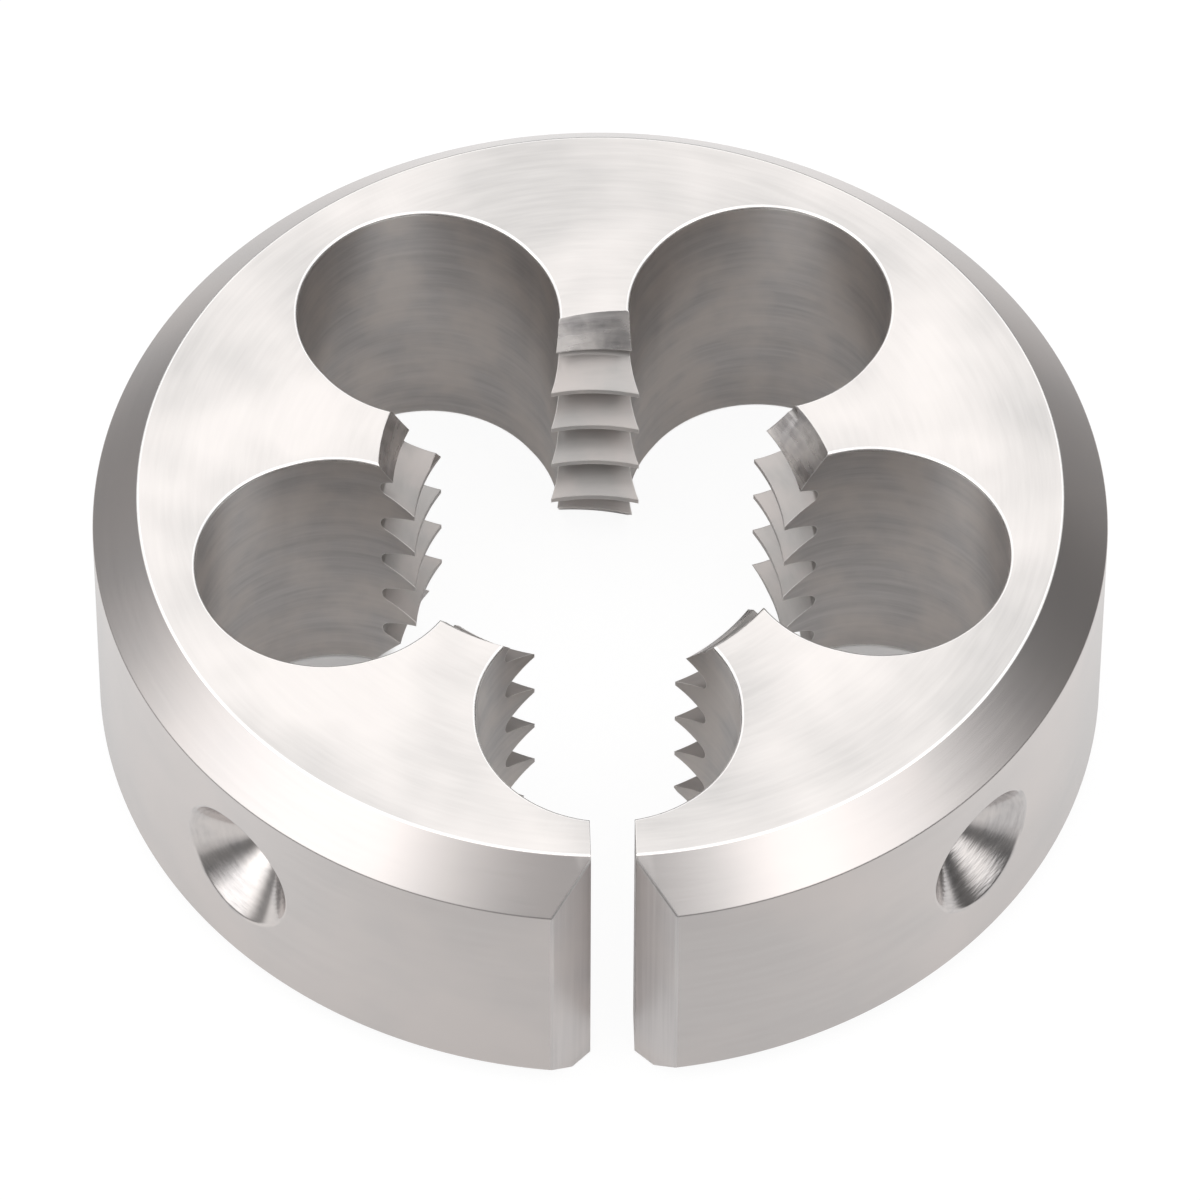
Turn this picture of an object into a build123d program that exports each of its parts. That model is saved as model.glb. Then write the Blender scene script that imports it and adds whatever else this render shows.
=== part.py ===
from build123d import *
from math import ceil, cos, radians, sin, tan
import os

# A round split threading die, ground and tapped from one disc of tool steel.
# Z is the thread axis, Z = 0 the lower face, and the slit points to -Y. Millimetres.

# The disc: two inches across and five eighths thick
rim_diameter = 50.8
thickness = 15.875
# Both rim corners are cut back at 45 degrees, the upper one further
top_bevel = 2.3
foot_bevel = 1.2

# The thread: seven eighths of an inch, nine turns to the inch, right-hand
major_diameter = 22.225
thread_pitch = 25.4 / 9
flank_angle = 55
# Depth from root to crest, and the width of the narrow crest, as shares of the pitch
depth_per_pitch = 0.64
crest_per_pitch = 0.1
# The rounded root is one arc that turns through this angle and touches the major diameter
root_arc = 100
# Height of the lowest crest above the lower face, straight out towards +X
crest_height = 0.135

# Leads: at each face a cone cuts every land back over about the first turn of the thread.
# The cone stands off towards the heel of the land, so that only the cutting edge touches.
# The throat is the cone's diameter at the face, and its flank leans this far from the axis.
throat_diameter = 23.0
lead_angle = 36
lead_relief = 1.4

# Chip holes: drilled, then run a little towards the axis, with one cutting land between each two
hole_count = 5
hole_diameter = 13.0
hole_circle_diameter = 28.9
hole_run = 0.35

# Slit through one side, and the V groove that the spreading screw enters
slit_width = 2.2
groove_depth = 3.2
groove_angle = 90

# Screw dimples: two cones drilled into the rim at half height, either side of the slit
dimple_diameter = 7.3
dimple_angle = 90
dimple_offset = 47

# The direction of the slit, and how far the cutters reach past the metal
slit_direction = -90
overrun = 1.0

rim_radius = rim_diameter / 2
major_radius = major_diameter / 2
minor_radius = major_radius - depth_per_pitch * thread_pitch
throat_radius = throat_diameter / 2
land_spacing = 360 / hole_count
hole_directions = [slit_direction + hole * land_spacing for hole in range(hole_count)]
land_directions = [direction + land_spacing / 2 for direction in hole_directions]


def blank():
    """The turned disc: bevelled rim and a plain bore at the size of the crests."""
    section = Polyline(
        (minor_radius, 0),
        (rim_radius - foot_bevel, 0),
        (rim_radius, foot_bevel),
        (rim_radius, thickness - top_bevel),
        (rim_radius - top_bevel, thickness),
        (minor_radius, thickness),
        close=True,
    )
    # The turn starts where the slit will be, which takes the seam away
    return Rot(0, 0, slit_direction) * revolve(Plane.XZ * make_face(section), Axis.Z)


def chip_holes():
    """The round holes that open into the bore and leave the lands between them."""
    middle = (hole_circle_diameter - hole_run) / 2
    outline = Pos(middle, 0) * SlotCenterToCenter(hole_run, hole_diameter)
    hole = Pos(0, 0, -overrun) * extrude(outline, thickness + 2 * overrun)
    return [Rot(0, 0, direction) * hole for direction in hole_directions]


def thread_grooves():
    """The space between the crests: on each land, one short length of helix for each turn."""
    flank = radians(flank_angle / 2)
    crest_width = crest_per_pitch * thread_pitch
    half_mouth = (thread_pitch - crest_width) / 2
    # The flanks run on past the crests by a quarter of the crest width, so turns never meet
    inner_radius = minor_radius - crest_width / 4 / tan(flank)
    inner_half = half_mouth + crest_width / 4
    # Half the root's width where the flanks would reach the major diameter
    root_half = half_mouth - (major_radius - minor_radius) * tan(flank)
    # The arc's radius follows from its two ends lying on the flanks
    half_arc = radians(root_arc / 2)
    root_round = root_half / (sin(half_arc) - (1 - cos(half_arc)) * tan(flank))
    end_radius = major_radius - root_round * (1 - cos(half_arc))
    end_half = root_round * sin(half_arc)
    lower = (end_radius, -end_half)
    upper = (end_radius, end_half)
    section = make_face(
        [
            Line((inner_radius, -inner_half), lower),
            ThreePointArc(lower, (major_radius, 0), upper),
            Line(upper, (inner_radius, inner_half)),
            Line((inner_radius, inner_half), (inner_radius, -inner_half)),
        ]
    )
    # Each length starts and ends in the middle of a chip hole, clear of the metal
    rise = thread_pitch * land_spacing / 360
    path = Helix(pitch=thread_pitch, height=rise, radius=minor_radius)
    groove = sweep(Plane.XZ * section, path=path, is_frenet=True)
    turns = ceil(thickness / thread_pitch) + 1
    grooves = []
    for direction in hole_directions:
        first = crest_height + thread_pitch * (direction / 360 - 0.5)
        for turn in range(turns + 1):
            height = first + turn * thread_pitch
            grooves.append(Pos(0, 0, height) * Rot(0, 0, direction) * groove)
    return grooves


def leads():
    """The relieved cones that open each end of the thread, one for each land and face."""
    slope = tan(radians(lead_angle))
    section = Polyline(
        (0, thickness - throat_radius / slope),
        (throat_radius + overrun * slope, thickness + overrun),
        (0, thickness + overrun),
        close=True,
    )
    cone = revolve(Plane.XZ * make_face(section), Axis.Z, land_spacing)
    upper = Rot(0, 0, -land_spacing / 2) * cone
    lower = mirror(upper, Plane.XY.offset(thickness / 2))
    # Work enters turning, so at the upper face the heel is clockwise, and at the lower face not
    cuts = []
    for direction in land_directions:
        cuts.append(Rot(0, 0, direction) * Pos(0, -lead_relief, 0) * upper)
        cuts.append(Rot(0, 0, direction) * Pos(0, lead_relief, 0) * lower)
    return cuts


def slit():
    """The saw cut from the middle of one chip hole out through the rim."""
    inner = hole_circle_diameter / 2
    length = rim_radius + overrun - inner
    height = thickness + 2 * overrun
    cut = Box(length, slit_width, height, align=(Align.MIN, Align.CENTER, Align.MIN))
    return Rot(0, 0, slit_direction) * Pos(inner, 0, -overrun) * cut


def slit_groove():
    """The V down the whole rim at the slit."""
    tip = rim_radius - groove_depth
    reach = groove_depth + overrun
    half = reach * tan(radians(groove_angle / 2))
    section = Polyline((tip, 0), (tip + reach, half), (tip + reach, -half), close=True)
    cut = extrude(make_face(section), thickness + 2 * overrun)
    return Rot(0, 0, slit_direction) * Pos(0, 0, -overrun) * cut


def dimples():
    """Two cones whose axes meet the axis of the disc at half height."""
    slope = tan(radians(dimple_angle / 2))
    depth = dimple_diameter / 2 / slope
    reach = depth + overrun
    cone = Cone(0, reach * slope, reach, align=(Align.CENTER, Align.CENTER, Align.MIN))
    cut = Pos(rim_radius - depth, 0, thickness / 2) * Rot(0, 90, 0) * cone
    return [Rot(0, 0, slit_direction + side * dimple_offset) * cut for side in (-1, 1)]


def threading_die():
    """The finished die: the blank, less everything that is drilled, cut or tapped out of it."""
    drilled = blank() - [*chip_holes(), slit(), slit_groove(), *dimples()]
    return drilled - leads() - thread_grooves()


os.makedirs("parts", exist_ok=True)
die = threading_die()
die.label = "threading_die"
export_step(die, "parts/threading_die.step")
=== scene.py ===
import bpy
import numpy as np
from mathutils import Matrix


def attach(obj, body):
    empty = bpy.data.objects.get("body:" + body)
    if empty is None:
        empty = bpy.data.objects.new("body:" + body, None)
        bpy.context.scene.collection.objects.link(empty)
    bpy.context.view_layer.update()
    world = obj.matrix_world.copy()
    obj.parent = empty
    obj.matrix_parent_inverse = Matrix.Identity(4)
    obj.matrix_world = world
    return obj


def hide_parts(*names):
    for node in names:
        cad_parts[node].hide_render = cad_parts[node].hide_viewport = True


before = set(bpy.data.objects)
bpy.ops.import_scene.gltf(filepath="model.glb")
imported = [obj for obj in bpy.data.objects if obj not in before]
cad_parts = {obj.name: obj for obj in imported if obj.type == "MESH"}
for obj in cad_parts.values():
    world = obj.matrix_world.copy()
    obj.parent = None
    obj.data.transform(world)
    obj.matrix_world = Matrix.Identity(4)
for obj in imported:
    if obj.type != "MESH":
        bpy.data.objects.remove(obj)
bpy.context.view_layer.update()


# Studio: the camera.
# It looks down on the die from in front, 51 degrees above the board, through a long lens from
# about 0.6 m away, so the disc shows almost no perspective.

disc_radius = 0.0254
lift, spin, roll = np.radians((51.293, 1.789, -0.267))
# How far off the camera stands, and how high above the board it aims, both in disc radii
radii_off, radii_high = 23.278, 0.3164
distance = radii_off * disc_radius
aim = np.array((0, 0, radii_high * disc_radius))
# In pixels: the side of the square picture, the disc's radius in it, and where the aim falls
picture, radius_pixels = 1200, 503.90
aim_across, aim_down = 599.93, 585.55
focal_pixels = radius_pixels * radii_off

right = np.array((np.cos(spin), -np.sin(spin), 0))
ahead = np.array((np.sin(spin), np.cos(spin), 0))
forward = ahead * np.cos(lift) - np.array((0, 0, np.sin(lift)))
upward = ahead * np.sin(lift) + np.array((0, 0, np.cos(lift)))
across = right * np.cos(roll) - upward * np.sin(roll)
along = right * np.sin(roll) + upward * np.cos(roll)

camera = bpy.data.objects.new("camera", bpy.data.cameras.new("camera"))
bpy.context.collection.objects.link(camera)
placed = np.eye(4)
placed[:3, 0], placed[:3, 1], placed[:3, 2] = across, along, -forward
placed[:3, 3] = aim - forward * distance
camera.matrix_world = Matrix(placed.tolist())
film_width, sight_end = 36, 20
camera.data.sensor_width = film_width
camera.data.lens = film_width * focal_pixels / picture
camera.data.shift_x = (picture / 2 - aim_across) / picture
camera.data.shift_y = (aim_down - picture / 2) / picture
camera.data.clip_end = sight_end
bpy.context.scene.camera = camera
bpy.context.scene.view_settings.view_transform = "Standard"


# Studio: the tent.
# White cloth, lit from outside by two lamps in front and so brighter there than behind, with the
# grey wall of the room below its hem and a dark opening on the camera's side. The camera itself
# sees plain white.

# Brightness, where 1 shows white: the cloth in front and behind, and the share of it left at the
# peak, where it is gathered, then the wall at the left and at the right, and the opening
cloth_front, cloth_back, peak_share = 1.75, 1.2, 0.6
wall_left, wall_right = 0.32, 0.14
opening_tone = 0.22
# The hem hangs lower at the left than at the right, and the opening is just above the camera
hem_axis = (-0.09, 0, 1)
opening_axis = (-0.10, -0.90, 0.42)


def node(tree, kind, inputs=(), **settings):
    """Adds one node, sets its settings, then each input: a socket is linked, a value is set."""
    made = tree.nodes.new(kind)
    for name, value in settings.items():
        setattr(made, name, value)
    for key, value in dict(inputs).items():
        if isinstance(value, bpy.types.NodeSocket):
            tree.links.new(value, made.inputs[key])
        else:
            made.inputs[key].default_value = value
    return made


world = bpy.data.worlds.new("tent")
bpy.context.scene.world = world
world.use_nodes = True
tree = world.node_tree
tree.nodes.clear()
direction = node(tree, "ShaderNodeTexCoord").outputs["Generated"]
parts = node(tree, "ShaderNodeSeparateXYZ", {0: direction})
hem = node(tree, "ShaderNodeVectorMath", {0: direction, 1: hem_axis}, operation="DOT_PRODUCT")
cloth = node(
    tree,
    "ShaderNodeMapRange",
    {
        "Value": parts.outputs["Y"],
        "From Min": -0.35,
        "From Max": 0.45,
        "To Min": cloth_front,
        "To Max": cloth_back,
    },
    interpolation_type="SMOOTHSTEP",
)
peak = node(
    tree,
    "ShaderNodeMapRange",
    {"Value": parts.outputs["Z"], "From Min": 0.94, "From Max": 1.0, "To Min": 1.0, "To Max": peak_share},
    interpolation_type="SMOOTHSTEP",
)
roof = node(tree, "ShaderNodeMath", {0: cloth.outputs[0], 1: peak.outputs[0]}, operation="MULTIPLY")
wall = node(
    tree,
    "ShaderNodeMapRange",
    {
        "Value": parts.outputs["X"],
        "From Min": -0.9,
        "From Max": 0.9,
        "To Min": wall_left,
        "To Max": wall_right,
    },
)
height = node(
    tree,
    "ShaderNodeMapRange",
    {
        "Value": hem.outputs["Value"],
        "From Min": 0.16,
        "From Max": 0.48,
        "To Min": wall.outputs[0],
        "To Max": roof.outputs[0],
    },
    interpolation_type="SMOOTHSTEP",
)
toward = node(
    tree, "ShaderNodeVectorMath", {0: direction, 1: opening_axis}, operation="DOT_PRODUCT"
)
opening = node(
    tree,
    "ShaderNodeMapRange",
    {"Value": toward.outputs["Value"], "From Min": 0.80, "From Max": 1.0, "To Min": 0.0, "To Max": 1.0},
)
tone = node(
    tree,
    "ShaderNodeMix",
    {"Factor": opening.outputs[0], 2: height.outputs[0], 3: opening_tone},
    data_type="FLOAT",
)
ray = node(tree, "ShaderNodeLightPath")
tent = node(tree, "ShaderNodeBackground", {"Color": (1, 1, 1, 1), "Strength": tone.outputs[0]})
plain = node(tree, "ShaderNodeBackground", {"Color": (1, 1, 1, 1), "Strength": 1.0})
seen = node(
    tree,
    "ShaderNodeMixShader",
    {0: ray.outputs["Is Camera Ray"], 1: tent.outputs[0], 2: plain.outputs[0]},
)
node(tree, "ShaderNodeOutputWorld", {"Surface": seen.outputs[0]})


# Studio: the board.
# A sheet of matt white card. The camera sees it as the white ground of the picture, with the
# die's soft shadow on it. It lies a fiftieth of a millimetre low, so it shares no plane with the die.

board_half, board_low = 1.5, 2e-5
# The white that the camera sees, and its share of the view. The rest is the card's own shade
white_strength, white_share = 1.04, 0.88
# The share of what the steel sees that is the card's painted light
mirrored_share = 0.8
# In metres: the middle of a painted pool of light on the card behind the die, as if from a third
# lamp, and the middle of the patch that stays in shade at the foot of the right side hole's back
# wall. The left one mirrors it
painted_pool_place = (0.004, 0.050, 0)
shaded_place = (0.01374, 0.003, 0)

corners = np.array(((-1, -1, 0), (1, -1, 0), (1, 1, 0), (-1, 1, 0))) * board_half - (0, 0, board_low)
board_mesh = bpy.data.meshes.new("board")
board_mesh.from_pydata(corners.tolist(), [], [(0, 1, 2, 3)])
board = bpy.data.objects.new("board", board_mesh)
bpy.context.collection.objects.link(board)

card = bpy.data.materials.new("matt_white_card")
card.use_nodes = True
tree = card.node_tree
tree.nodes.clear()
place = node(tree, "ShaderNodeTexCoord").outputs["Object"]
grain = node(tree, "ShaderNodeTexNoise", {"Vector": place, "Scale": 900.0, "Detail": 3.0})
shade = node(
    tree,
    "ShaderNodeMapRange",
    {"Value": grain.outputs[0], "To Min": 0.86, "To Max": 0.90},
)
matt = node(tree, "ShaderNodeBsdfDiffuse", {"Color": shade.outputs[0]})
# What the steel sees of the card is painted light: a lit middle that falls off outwards and
# towards the opening, and painted shade close to the die, which stands in the light
far = node(tree, "ShaderNodeVectorMath", {0: place}, operation="LENGTH")
fall = node(
    tree,
    "ShaderNodeMapRange",
    {"Value": far.outputs["Value"], "From Min": 0.026, "From Max": 0.097, "To Min": 1.0, "To Max": 0.1},
    interpolation_type="SMOOTHSTEP",
)
# Painted shade: the card turns darker close to the die
near = node(
    tree,
    "ShaderNodeMapRange",
    {"Value": far.outputs["Value"], "From Min": 0.026, "From Max": 0.037, "To Min": 0.76, "To Max": 0.98},
)
parts = node(tree, "ShaderNodeSeparateXYZ", {0: place})
# Painted shade: the card turns darker towards the front, where the opening is
front = node(
    tree,
    "ShaderNodeMapRange",
    {"Value": parts.outputs["Y"], "From Min": -0.036, "From Max": -0.019, "To Min": 0.66, "To Max": 1.02},
)
# A painted pool of light on the card behind the die, as if a third lamp shone there
painted_pool_distance = node(tree, "ShaderNodeVectorMath", {0: place, 1: painted_pool_place}, operation="DISTANCE")
painted_pool = node(
    tree,
    "ShaderNodeMapRange",
    {"Value": painted_pool_distance.outputs["Value"], "From Min": 0.012, "From Max": 0.024, "To Min": 1.2, "To Max": 1.0},
    interpolation_type="SMOOTHSTEP",
)
painted_light_strength = node(tree, "ShaderNodeMath", {0: fall.outputs[0], 1: front.outputs[0]}, operation="MULTIPLY")
painted_light_strength = node(tree, "ShaderNodeMath", {0: painted_light_strength.outputs[0], 1: near.outputs[0]}, operation="MULTIPLY")
painted_light_strength = node(tree, "ShaderNodeMath", {0: painted_light_strength.outputs[0], 1: painted_pool.outputs[0]}, operation="MULTIPLY")
ray = node(tree, "ShaderNodeLightPath")
white = node(tree, "ShaderNodeEmission", {"Color": (1, 1, 1, 1), "Strength": white_strength})
mirrored = node(tree, "ShaderNodeEmission", {"Color": (1, 1, 1, 1), "Strength": painted_light_strength.outputs[0]})
# Under the die the card is lit only by what comes down the holes, so there it is left as it is
clear = node(
    tree,
    "ShaderNodeMapRange",
    {
        "Value": far.outputs["Value"],
        "From Min": 0.0244,
        "From Max": 0.0262,
        "To Min": 0.0,
        "To Max": mirrored_share,
    },
)
in_steel = node(
    tree, "ShaderNodeMath", {0: ray.outputs["Is Glossy Ray"], 1: clear.outputs[0]}, operation="MULTIPLY"
)
straight = node(
    tree,
    "ShaderNodeMath",
    {0: ray.outputs["Is Camera Ray"], 1: ray.outputs["Is Transmission Ray"]},
    operation="MAXIMUM",
)
# The camera sees the ground white everywhere but in the two shaded patches, which X without its
# sign makes one
aside = node(tree, "ShaderNodeMath", {0: parts.outputs["X"]}, operation="ABSOLUTE")
folded = node(tree, "ShaderNodeCombineXYZ", {"X": aside.outputs[0], "Y": parts.outputs["Y"]})
foot = node(
    tree, "ShaderNodeVectorMath", {0: folded.outputs[0], 1: shaded_place}, operation="DISTANCE"
)
ground = node(
    tree,
    "ShaderNodeMapRange",
    {
        "Value": foot.outputs["Value"],
        "From Min": 0.0026,
        "From Max": 0.0035,
        "To Min": 0.0,
        "To Max": white_share,
    },
)
in_camera = node(
    tree, "ShaderNodeMath", {0: straight.outputs[0], 1: ground.outputs[0]}, operation="MULTIPLY"
)
steel_view = node(
    tree, "ShaderNodeMixShader", {0: in_steel.outputs[0], 1: matt.outputs[0], 2: mirrored.outputs[0]}
)
shown = node(
    tree, "ShaderNodeMixShader", {0: in_camera.outputs[0], 1: steel_view.outputs[0], 2: white.outputs[0]}
)
node(tree, "ShaderNodeOutputMaterial", {"Surface": shown.outputs[0]})
board_mesh.materials.append(card)


# The die: its steels.
# One disc of tool steel, but each surface was made by another tool, and shows that tool's marks.
# Every pattern reads Object coordinates, in metres.

# The angle from the slit to each of the two screw dimples
dimple_offset = 47
# The width in metres and the colour of the bright line along every sharp edge, part wear and part painted
# highlight
edge_wear_and_highlight_width, edge_wear_and_highlight_colour = 7e-5, "#F8F5F2"


def linear(code):
    """An sRGB hex colour as linear red, green, blue and alpha, by the sRGB curve."""
    part = np.array([int(code[i : i + 2], 16) for i in (1, 3, 5)]) / 255
    part = np.where(part <= 0.04045, part / 12.92, ((part + 0.055) / 1.055) ** 2.4)
    return (*part.tolist(), 1.0)


def stretched(tree, along, up):
    """Where a mark lies, for marks on an upright wall: its place in millimetres, divided by the
    mark's length along X and Y and by its height up Z."""
    place = node(tree, "ShaderNodeTexCoord").outputs["Object"]
    size = (1000 / along, 1000 / along, 1000 / up)
    return node(tree, "ShaderNodeMapping", {"Vector": place, "Scale": size}).outputs[0]


def circling(tree, lengths, width):
    """Where a mark lies, for marks that run round the thread's axis on a face, bevel or rim: the
    direction from the axis, times the number of mark lengths in a radian, and upright the
    distance from the axis less the height, divided by the mark's width in millimetres."""
    place = node(tree, "ShaderNodeTexCoord").outputs["Object"]
    level = node(
        tree, "ShaderNodeVectorMath", {0: place, 1: (1, 1, 0)}, operation="MULTIPLY"
    ).outputs[0]
    reach = node(tree, "ShaderNodeVectorMath", {0: level}, operation="LENGTH").outputs["Value"]
    outward = node(tree, "ShaderNodeVectorMath", {0: level}, operation="NORMALIZE").outputs[0]
    height = node(tree, "ShaderNodeSeparateXYZ", {0: place}).outputs["Z"]
    across = node(tree, "ShaderNodeMath", {0: reach, 1: height}, operation="SUBTRACT").outputs[0]
    across = node(
        tree, "ShaderNodeMath", {0: across, 1: 1000 / width}, operation="MULTIPLY"
    ).outputs[0]
    across = node(tree, "ShaderNodeCombineXYZ", {"Z": across}).outputs[0]
    size = (lengths, lengths, lengths)
    return node(
        tree, "ShaderNodeVectorMath", {0: outward, 1: size, 2: across}, operation="MULTIPLY_ADD"
    ).outputs[0]


def coned(tree, length, width):
    """Where a mark lies, for rings turned round the two screw dimples: the place along the
    dimple's own axis, divided by the ring's width, and across that axis, divided by its length.
    Both dimples share one formula, because it takes X and Y without their sign."""
    place = node(tree, "ShaderNodeTexCoord").outputs["Object"]
    plain = node(tree, "ShaderNodeVectorMath", {0: place}, operation="ABSOLUTE").outputs[0]
    turn = np.radians(dimple_offset)
    inward = (1000 / width * np.sin(turn), 1000 / width * np.cos(turn), 0)
    sideways = (1000 / length * np.cos(turn), -1000 / length * np.sin(turn), 0)
    upward = (0, 0, 1000 / length)
    axes = [
        node(tree, "ShaderNodeVectorMath", {0: plain, 1: axis}, operation="DOT_PRODUCT").outputs["Value"]
        for axis in (inward, sideways, upward)
    ]
    return node(tree, "ShaderNodeCombineXYZ", dict(enumerate(axes))).outputs[0]


def steel(name, warm, cool, patch, roughness, where, size, tint, depth, painted_shade_slope=(0, 0, 0)):
    """Bare tool steel. Its colour drifts from warm to cool in patches so many millimetres across,
    and lean, a slope for each metre, gives more of the cool one in its direction.
    Marks are noise read at where(tree, *size): they darken and brighten the colour and the
    roughness by the share tint, and stand depth metres high. They have a quarter of their
    strength on the warm patches and all of it on the cool ones."""
    made = bpy.data.materials.new(name)
    made.use_nodes = True
    tree = made.node_tree
    tree.nodes.clear()
    place = node(tree, "ShaderNodeTexCoord").outputs["Object"]
    broad = node(
        tree, "ShaderNodeTexNoise", {"Vector": place, "Scale": 1000 / patch, "Detail": 3.0}
    ).outputs[0]
    # With a slope this paints shade: more of the cool, darker colour in the slope's direction
    aside = node(
        tree, "ShaderNodeVectorMath", {0: place, 1: painted_shade_slope}, operation="DOT_PRODUCT"
    ).outputs["Value"]
    broad = node(tree, "ShaderNodeMath", {0: broad, 1: aside}, operation="ADD").outputs[0]
    drift = node(
        tree, "ShaderNodeMapRange", {"Value": broad, "From Min": 0.38, "From Max": 0.62}
    ).outputs[0]
    base = node(
        tree, "ShaderNodeMix", {"Factor": drift, 6: linear(warm), 7: linear(cool)}, data_type="RGBA"
    )
    marks = node(
        tree,
        "ShaderNodeTexNoise",
        {"Vector": where(tree, *size), "Scale": 1.0, "Detail": 3.0, "Roughness": 0.6},
    ).outputs[0]
    swing = node(
        tree,
        "ShaderNodeMapRange",
        {"Value": marks, "From Min": 0.3, "From Max": 0.7, "To Min": -tint, "To Max": tint},
    ).outputs[0]
    worn = node(tree, "ShaderNodeMath", {0: drift, 1: 0.75, 2: 0.25}, operation="MULTIPLY_ADD").outputs[0]
    share = node(tree, "ShaderNodeMath", {0: swing, 1: worn, 2: 1.0}, operation="MULTIPLY_ADD").outputs[0]
    colour = node(tree, "ShaderNodeVectorMath", {0: base.outputs[2], 1: share}, operation="MULTIPLY")
    rough = node(tree, "ShaderNodeMath", {0: share, 1: roughness}, operation="MULTIPLY")
    # Every sharp edge is painted bright, part wear and part painted highlight: there the rounded normal
    # leaves the plain one
    rounded = node(tree, "ShaderNodeBevel", {"Radius": edge_wear_and_highlight_width}, samples=4).outputs[0]
    flat = node(tree, "ShaderNodeNewGeometry").outputs["Normal"]
    even = node(
        tree, "ShaderNodeVectorMath", {0: rounded, 1: flat}, operation="DOT_PRODUCT"
    ).outputs["Value"]
    rubbed_and_highlit = node(
        tree, "ShaderNodeMapRange", {"Value": even, "From Min": 0.99, "From Max": 0.88, "To Max": 0.7}
    ).outputs[0]
    highlit_edge = node(
        tree,
        "ShaderNodeMix",
        {"Factor": rubbed_and_highlit, 6: colour.outputs[0], 7: linear(edge_wear_and_highlight_colour)},
        data_type="RGBA",
    )
    bump = node(
        tree, "ShaderNodeBump", {"Strength": worn, "Distance": depth, "Height": marks, "Normal": rounded}
    )
    metal = node(
        tree,
        "ShaderNodeBsdfPrincipled",
        {
            "Base Color": highlit_edge.outputs[2],
            "Metallic": 1.0,
            "Roughness": rough.outputs[0],
            "Normal": bump.outputs[0],
        },
    )
    node(tree, "ShaderNodeOutputMaterial", {"Surface": metal.outputs[0]})
    return made


# Both faces: ground flat under a turning cup wheel, which leaves faint arcs round the axis on a
# satin that is nearly white
# The slope paints shade on both faces: cooler and darker towards the right and the back
face_ground = steel(
    "face_ground_steel", warm="#EBE6E3", cool="#CFCCCA", patch=12, roughness=0.30,
    where=circling, size=(5, 0.30), tint=0.06, depth=6e-6, painted_shade_slope=(3, 1, 0),
)
# Rim and bevels: ground between centres, smooth and with the clearest reflections
rim_ground = steel(
    "rim_ground_steel", warm="#DAD3D0", cool="#D2CDCB", patch=10, roughness=0.24,
    where=circling, size=(4, 0.6), tint=0.02, depth=2e-6,
)
# Chip holes: drilled and left, so a darker wall with fine level tool marks
drilled = steel(
    "drilled_steel", warm="#CBC5C1", cool="#BCB9B8", patch=3, roughness=0.36,
    where=stretched, size=(5, 0.35), tint=0.12, depth=1.4e-5,
)
# Slit and groove: cut with a thin wheel that ran up the die, which leaves upright lines
wheel_cut = steel(
    "wheel_cut_steel", warm="#E0DAD7", cool="#D6D2D1", patch=8, roughness=0.30,
    where=stretched, size=(0.25, 12), tint=0.06, depth=8e-6,
)
# Screw dimples: countersunk to a gloss, bright where the cone faces a lamp and dark beside it
countersunk = steel(
    "countersunk_steel", warm="#DAD4D1", cool="#CAC6C5", patch=2, roughness=0.17,
    where=coned, size=(1.2, 0.14), tint=0.12, depth=1.4e-5,
)
# Thread: tapped, a dull satin with faint level lines
tapped = steel(
    "tapped_steel", warm="#BAB4B1", cool="#AFACAA", patch=3, roughness=0.45,
    where=stretched, size=(3, 0.3), tint=0.08, depth=8e-6,
)
# Leads: relief-ground one land at a time with a coarse wheel, whose lines stand out
relieved = steel(
    "relief_ground_steel", warm="#F0EAE6", cool="#C0BCBB", patch=2.0, roughness=0.27,
    where=stretched, size=(5, 0.7), tint=0.30, depth=1.8e-5,
)
# The broken edges of both faces: drawn over a fine stone, and painted near white as a painted
# highlight, so a bright thin line
stoned_highlit = steel(
    "stoned_edge_highlight_steel", warm="#F8F5F2", cool="#F2F0EF", patch=6, roughness=0.25,
    where=stretched, size=(1, 1), tint=0.03, depth=2e-6,
)
steels = [face_ground, rim_ground, drilled, wheel_cut, countersunk, tapped, relieved, stoned_highlit]
FACE, RIM, DRILLED, WHEEL, SUNK, TAPPED, RELIEVED, STONED_HIGHLIT = range(8)


# The die: its shape.
# A disc turned from bar, with every edge that a hand would touch broken by a stone. All sizes are
# in millimetres, about the thread's axis, with the lower face at zero.

rim, thick = 25.4, 15.875
top_bevel, foot_bevel = 2.3, 1.2
# How far the stone breaks the edges of the holes, the faces and the rim
edge_break, face_break, rim_break = 0.16, 0.08, 0.06
# The radius of the thread's crests, and how far each cutter reaches past the metal
bore, past = 9.3063, 1.0
# The directions of the slit and of the five chip holes, the first of which it cuts into
slit_direction, spacing = -90, 72
hole_directions = range(slit_direction, slit_direction + 360, spacing)
# The points along each rounded corner, as shares of the way round it
round_points = 5
way = np.linspace(0, 1, round_points)


def loft(rings, closed=False):
    """A skin over rings of points: quads from each ring to the next. The last ring joins the
    first if closed; if not, one face fills each end. Returns the points and the faces."""
    count, around = rings.shape[:2]
    ids = np.arange(count * around).reshape(count, around)
    lower = ids if closed else ids[:-1]
    upper = np.roll(ids, -1, 0) if closed else ids[1:]
    quads = np.stack((lower, np.roll(lower, -1, 1), np.roll(upper, -1, 1), upper), -1)
    faces = quads.reshape(-1, 4).tolist()
    if not closed:
        faces += [ids[0, ::-1].tolist(), ids[-1].tolist()]
    return rings.reshape(-1, 3), faces


def volume(points, faces):
    """Six times the signed volume: the triple product of each triangle of each face's fan."""
    total = 0.0
    for corners in ([f for f in faces if len(f) == 4], [f for f in faces if len(f) != 4]):
        for side in range(1, max((len(f) for f in corners), default=2) - 1):
            fan = np.array([(f[0], f[side], f[side + 1]) for f in corners if len(f) > side + 1])
            a, b, c = (points[fan[:, i]] for i in range(3))
            total += np.einsum("ij,ij->", a, np.cross(b, c))
    return total


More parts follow.
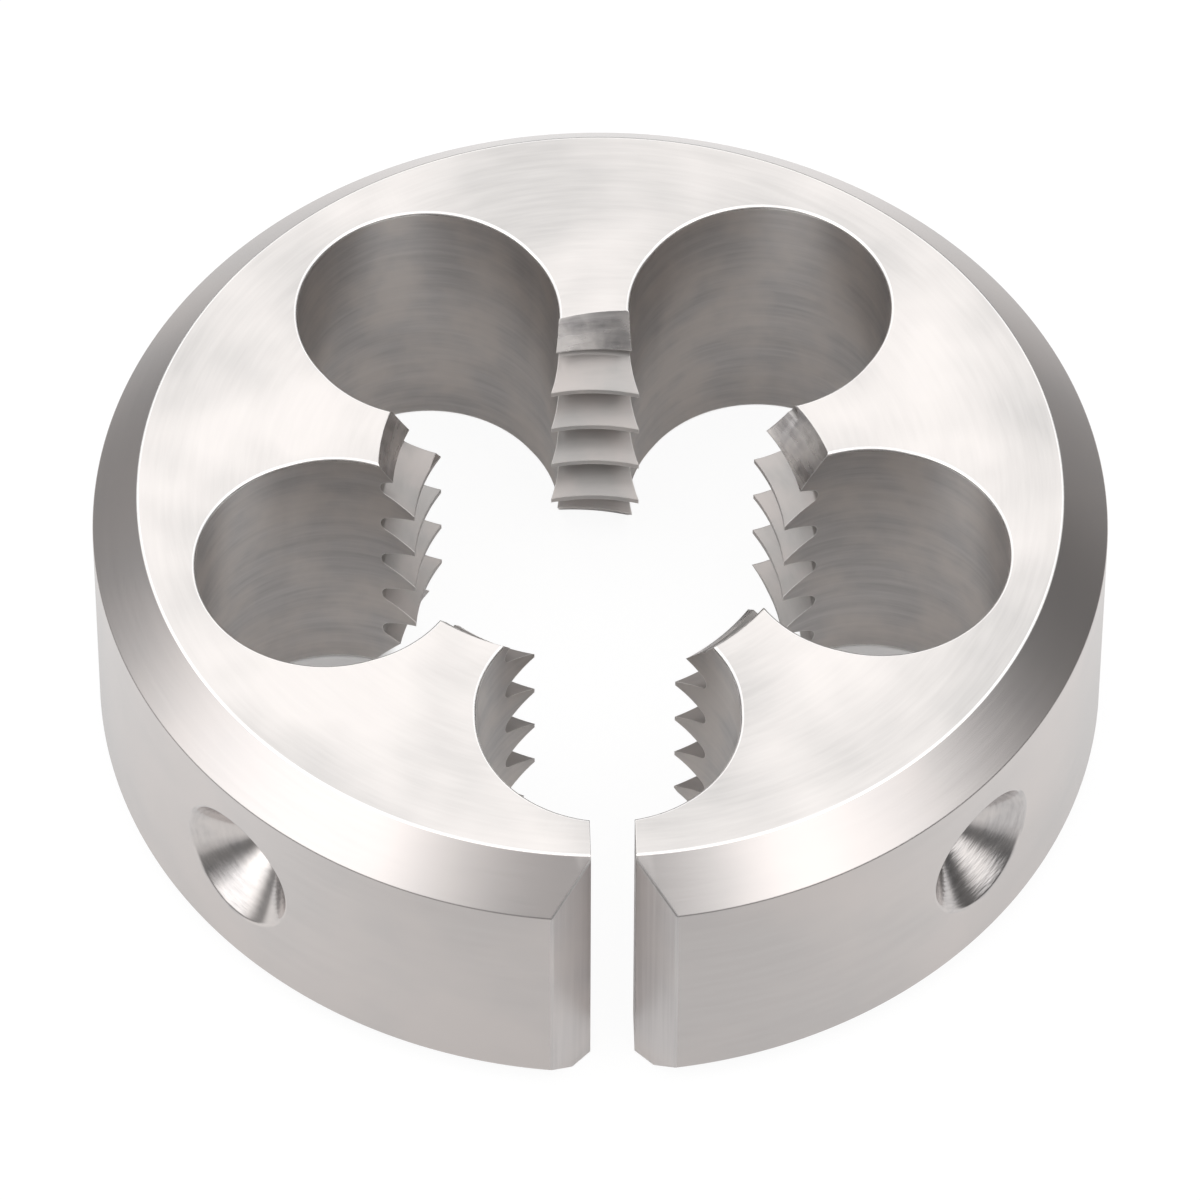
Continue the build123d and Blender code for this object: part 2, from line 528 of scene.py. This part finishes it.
def solid(name, lofts):
    """One mesh object out of several closed lofts, each with the number of its steel, or a list
    of numbers, one for each face. A loft that comes out inside out is turned round."""
    points, faces, numbers = np.zeros((0, 3)), [], []
    for (own, skin), number in lofts:
        if volume(own, skin) < 0:
            skin = [f[::-1] for f in skin]
        faces += [[i + len(points) for i in f] for f in skin]
        numbers += [number] * len(skin) if isinstance(number, int) else list(number)
        points = np.concatenate((points, own))
    mesh = bpy.data.meshes.new(name)
    mesh.from_pydata((points / 1000).tolist(), [], faces)
    for steel_of in steels:
        mesh.materials.append(steel_of)
    mesh.polygons.foreach_set("material_index", numbers)
    mesh.update()
    made = bpy.data.objects.new(name, mesh)
    bpy.context.collection.objects.link(made)
    return made


def turned(points, degrees):
    """The points turned about Z: the new x is x times the turn's cosine less y times its sine, and
    the new y is x times its sine plus y times its cosine."""
    angle = np.radians(degrees)
    x, y = points[..., 0], points[..., 1]
    return np.stack(
        (x * np.cos(angle) - y * np.sin(angle), x * np.sin(angle) + y * np.cos(angle), points[..., 2]), -1
    )


def revolved(out, up, angle):
    """Rings of points, one for each angle round Z: x and y are the distance out times the angle's
    cosine and sine, and z is the height up."""
    return np.stack(np.broadcast_arrays(out * np.cos(angle), out * np.sin(angle), up), -1)


def rounded_corner(start, corner, end, way):
    """A curve that leaves start towards the corner and reaches end from it: the three points,
    weighted by the way left squared, twice both ways multiplied, and the way gone squared."""
    return (1 - way) ** 2 * start + 2 * way * (1 - way) * corner + way**2 * end


# The blank: the section of the disc, carried round the axis.
# Each rim corner is rounded by a curve whose middle control point is the corner itself.
corner = np.array(
    ((rim - foot_bevel, 0), (rim, foot_bevel), (rim, thick - top_bevel), (rim - top_bevel, thick))
)
before = np.array(((bore, 0), *corner[:-1])) - corner
after = np.array((*corner[1:], (bore, thick))) - corner
breaks = np.array((face_break, rim_break, rim_break, face_break))[:, None]
start = corner + breaks * before / np.linalg.norm(before, axis=1, keepdims=True)
end = corner + breaks * after / np.linalg.norm(after, axis=1, keepdims=True)
rounds = rounded_corner(start[:, None], corner[:, None], end[:, None], way[None, :, None])
section = np.concatenate((((bore, 0),), rounds.reshape(-1, 2), ((bore, thick),)))
blank_steps = 360
angle = np.radians(np.arange(blank_steps) * 360 / blank_steps)[:, None]
blank_rings = revolved(section[:, 0], section[:, 1], angle)
# Steels along the section: lower face, broken edge, rim with its bevels, broken edge, upper
# face, bore
along_section = np.full(len(section), RIM)
along_section[0] = along_section[-2] = FACE
along_section[1:round_points] = along_section[-round_points - 1 : -2] = STONED_HIGHLIT
along_section[-1] = TAPPED
blank = loft(blank_rings, closed=True), np.tile(along_section, blank_steps).tolist()

# How far a cutter flares at each height, so that it rounds the edges of both faces: a quarter
# circle whose radius is the edge break, level with the face where it leaves it.
quarter = np.radians(np.linspace(0, 90, 6))
rise = edge_break * (1 - np.cos(quarter))
flare = edge_break * (1 - np.sin(quarter))
levels = np.concatenate(((-past,), rise, thick - rise[::-1], (thick + past,)))
flares = np.concatenate(((edge_break,), flare, flare[::-1], (edge_break,)))[:, None]


def upright(x, y, z):
    """Rings of points, one for each height z, out of arrays of x and y with one row for each."""
    return np.stack(np.broadcast_arrays(x, y, z[:, None]), -1)


def edged(rings, widths, number):
    """The loft of an upright cutter, and the steel that each of its faces leaves: its own, and
    stoned steel in the rows where its width changes."""
    rows = np.where(np.diff(widths.ravel()) != 0, STONED_HIGHLIT, number)
    return loft(rings), np.repeat(rows, rings.shape[1]).tolist() + [number, number]


# Chip holes: five drilled holes, each run a little towards the axis. No point of the ring falls
# where the run begins, because all stand half a step off.
hole_radius, hole_middle, hole_run, hole_steps = 6.5, 14.275, 0.35, 160
turn = np.radians((np.arange(hole_steps) + 0.5) * 360 / hole_steps)
grown = hole_radius + flares
hole = upright(
    hole_middle + np.sign(np.cos(turn)) * hole_run / 2 + grown * np.cos(turn),
    grown * np.sin(turn),
    levels,
)
holes = [edged(turned(hole, direction), flares, DRILLED) for direction in hole_directions]

# Groove: a 90 degree V down the rim at the slit. Its section at each height runs from the point
# of the V up a flank, over a rounded mouth on to the rim, and out, then back the same way.
groove_tip, mouth_round = 22.2, 0.12
heights = np.concatenate(
    ((-past,), rise, (foot_bevel, thick - top_bevel), thick - rise[::-1], (thick + past,))
)
widened = np.concatenate(((edge_break,), flare, (0, 0), flare[::-1], (edge_break,)))
skin_radius = np.interp(
    heights,
    (0, foot_bevel, thick - top_bevel, thick),
    (rim - foot_bevel, rim, rim, rim - top_bevel),
)
tip = groove_tip - np.sqrt(2) * widened
# Half the width at which the flank, at 45 degrees, meets the round skin
mouth = (np.sqrt(2 * skin_radius**2 - tip**2) - tip) / 2
flank_end = np.stack((tip + mouth - mouth_round / 2, mouth - mouth_round / 2), -1)
edge = np.stack((tip + mouth, mouth), -1)
on_rim = mouth + mouth_round
rim_end = np.stack((np.sqrt(skin_radius**2 - on_rim**2), on_rim), -1)
bend = rounded_corner(flank_end[:, None], edge[:, None], rim_end[:, None], way[None, :, None])
outside = rim_end * ((rim + 2 * past) / skin_radius)[:, None]
half = np.concatenate((bend, outside[:, None]), 1)
other = half[:, ::-1] * (1, -1)
outline = np.concatenate((np.stack((tip, 0 * tip), -1)[:, None], half, other), 1)
groove = upright(outline[..., 0], outline[..., 1], heights)
groove = [edged(turned(groove, slit_direction), widened, WHEEL)]

# Screw dimples: 90 degree cones, one either side of the slit. Each ring is a share of the way up
# the cone, then over a rounded mouth on to the rim, then straight out.
dimple_point, dimple_round, dimple_steps = 21.75, 0.10, 96
turn = np.radians(np.arange(dimple_steps) * 360 / dimple_steps)
c, s = np.cos(turn), np.sin(turn)
# The radius at which the cone, as wide as it is deep, meets the round rim
mouth = (np.sqrt(dimple_point**2 + (1 + c**2) * (rim**2 - dimple_point**2)) - dimple_point) / (1 + c**2)
cone = np.linspace(0.01, 1, 8)[:, None] * (mouth - dimple_round)
cone = np.stack((dimple_point + cone, cone * c, cone * s), -1)
edge = np.stack((dimple_point + mouth, mouth * c, mouth * s), -1)
wide = mouth + dimple_round
rim_end = np.stack((np.sqrt(rim**2 - (wide * c) ** 2), wide * c, wide * s), -1)
bend = rounded_corner(cone[-1], edge, rim_end, way[1:, None, None])
outside = np.stack((np.full(dimple_steps, rim + past), wide * c, wide * s), -1)[None]
dimple = np.concatenate((cone, bend, outside)) + (0, 0, thick / 2)
dimples = [(loft(turned(dimple, slit_direction + side * dimple_offset)), SUNK) for side in (-1, 1)]

# Slit: a saw cut from the middle of the front chip hole out through the rim. The stone takes only
# a share of the usual break off its edges.
slit_half, slit_start, slit_share = 1.1, 14.45, 0.3
slit_rise = slit_share * rise
slit_levels = np.concatenate(((-past,), slit_rise, thick - slit_rise[::-1], (thick + past,)))
cut_half = slit_half + slit_share * flares
near, far = np.full_like(cut_half, slit_start), np.full_like(cut_half, rim + past)
slit = upright(
    np.concatenate((near, far, far, near), 1),
    np.concatenate((-cut_half, -cut_half, cut_half, cut_half), 1),
    slit_levels,
)
slit = [edged(turned(slit, slit_direction), flares, WHEEL)]

# Leads: at each face a 36 degree cone opens the thread on every land. Its axis stands 1.4 mm to
# the cutting edge's side of the die's, so the land falls away behind that edge.
throat, slope, relief_shift = 11.5, np.tan(np.radians(36)), 1.4
# The cone starts inside the bore, and reaches so many degrees either side of a land's middle
inside, lead_reach, lead_points = 8.0, 25, 26
lead_section = np.array(
    (
        (inside, thick - (throat - inside) / slope),
        (throat + past * slope, thick + past),
        (inside, thick + past),
    )
)
sweep = np.radians(np.linspace(-lead_reach, lead_reach, lead_points))[:, None]
upper = revolved(lead_section[:, 0], lead_section[:, 1], sweep)
lower = upper * (1, 1, -1) + (0, 0, thick)
leads = []
for direction in hole_directions:
    land = direction + spacing / 2
    leads.append((loft(turned(upper - (0, relief_shift, 0), land)), RELIEVED))
    leads.append((loft(turned(lower + (0, relief_shift, 0), land)), RELIEVED))

# Thread: a right-hand groove of 55 degrees, nine turns to the inch, as one long tapped helix. Its
# section is two straight flanks and a root that is one arc of 100 degrees.
pitch, major = 25.4 / 9, 11.1125
crest_height, crest_width = 0.135, 0.1 * pitch
flank, half_arc = np.radians(27.5), np.radians(50)
half_mouth = (pitch - crest_width) / 2
# Half the width that the flanks would leave at the major radius, and the root's radius from it
root_half = half_mouth - (major - bore) * np.tan(flank)
root_radius = root_half / (np.sin(half_arc) - (1 - np.cos(half_arc)) * np.tan(flank))
bow = np.linspace(-half_arc, half_arc, 9)
root = np.stack((major - root_radius * (1 - np.cos(bow)), root_radius * np.sin(bow)), -1)
# The flanks run on past the crests, with one point half way along each
inner = np.array((bore - crest_width / 4 / np.tan(flank), half_mouth + crest_width / 4))
first = (inner * (1, -1) + root[0]) / 2
last = (inner + root[-1]) / 2
profile = np.concatenate(((inner * (1, -1), first), root, (last, inner)))
# The helix runs past both faces by the spare turns, with a ring at each step of so many degrees
spare_turns, turn_step = 1.5, 3.0
turns = np.arange(-360 * spare_turns, 360 * (thick / pitch + spare_turns), turn_step)
turns = np.radians(turns)[:, None]
climb = profile[:, 1] + crest_height - pitch / 2 + pitch * turns / (2 * np.pi)
thread = [(loft(revolved(profile[:, 0], climb, turns)), TAPPED)]

# The cuts are taken one after another, each leaving its own tool's steel behind it.
die = solid("threading_die_ground", [blank])
tools = [
    solid("drills", holes + groove + dimples),
    solid("saw_and_reliefs", slit + leads),
    solid("tap", thread),
]
for tool in tools:
    cut = die.modifiers.new(tool.name, "BOOLEAN")
    cut.operation, cut.solver, cut.object = "DIFFERENCE", "EXACT", tool
    cut.material_mode = "TRANSFER"
made = bpy.data.meshes.new_from_object(die.evaluated_get(bpy.context.evaluated_depsgraph_get()))
die.modifiers.clear()
die.data = made
made.name = "threading_die_ground"
for tool in tools:
    bpy.data.objects.remove(tool)
# Faces that meet at more than this angle keep a sharp edge between them
sharp_angle = 24
made.polygons.foreach_set("use_smooth", np.ones(len(made.polygons), bool))
made.set_sharp_from_angle(angle=np.radians(sharp_angle))
evened = die.modifiers.new("evened", "WEIGHTED_NORMAL")
evened.keep_sharp = True

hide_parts("threading_die")
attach(die, "root")
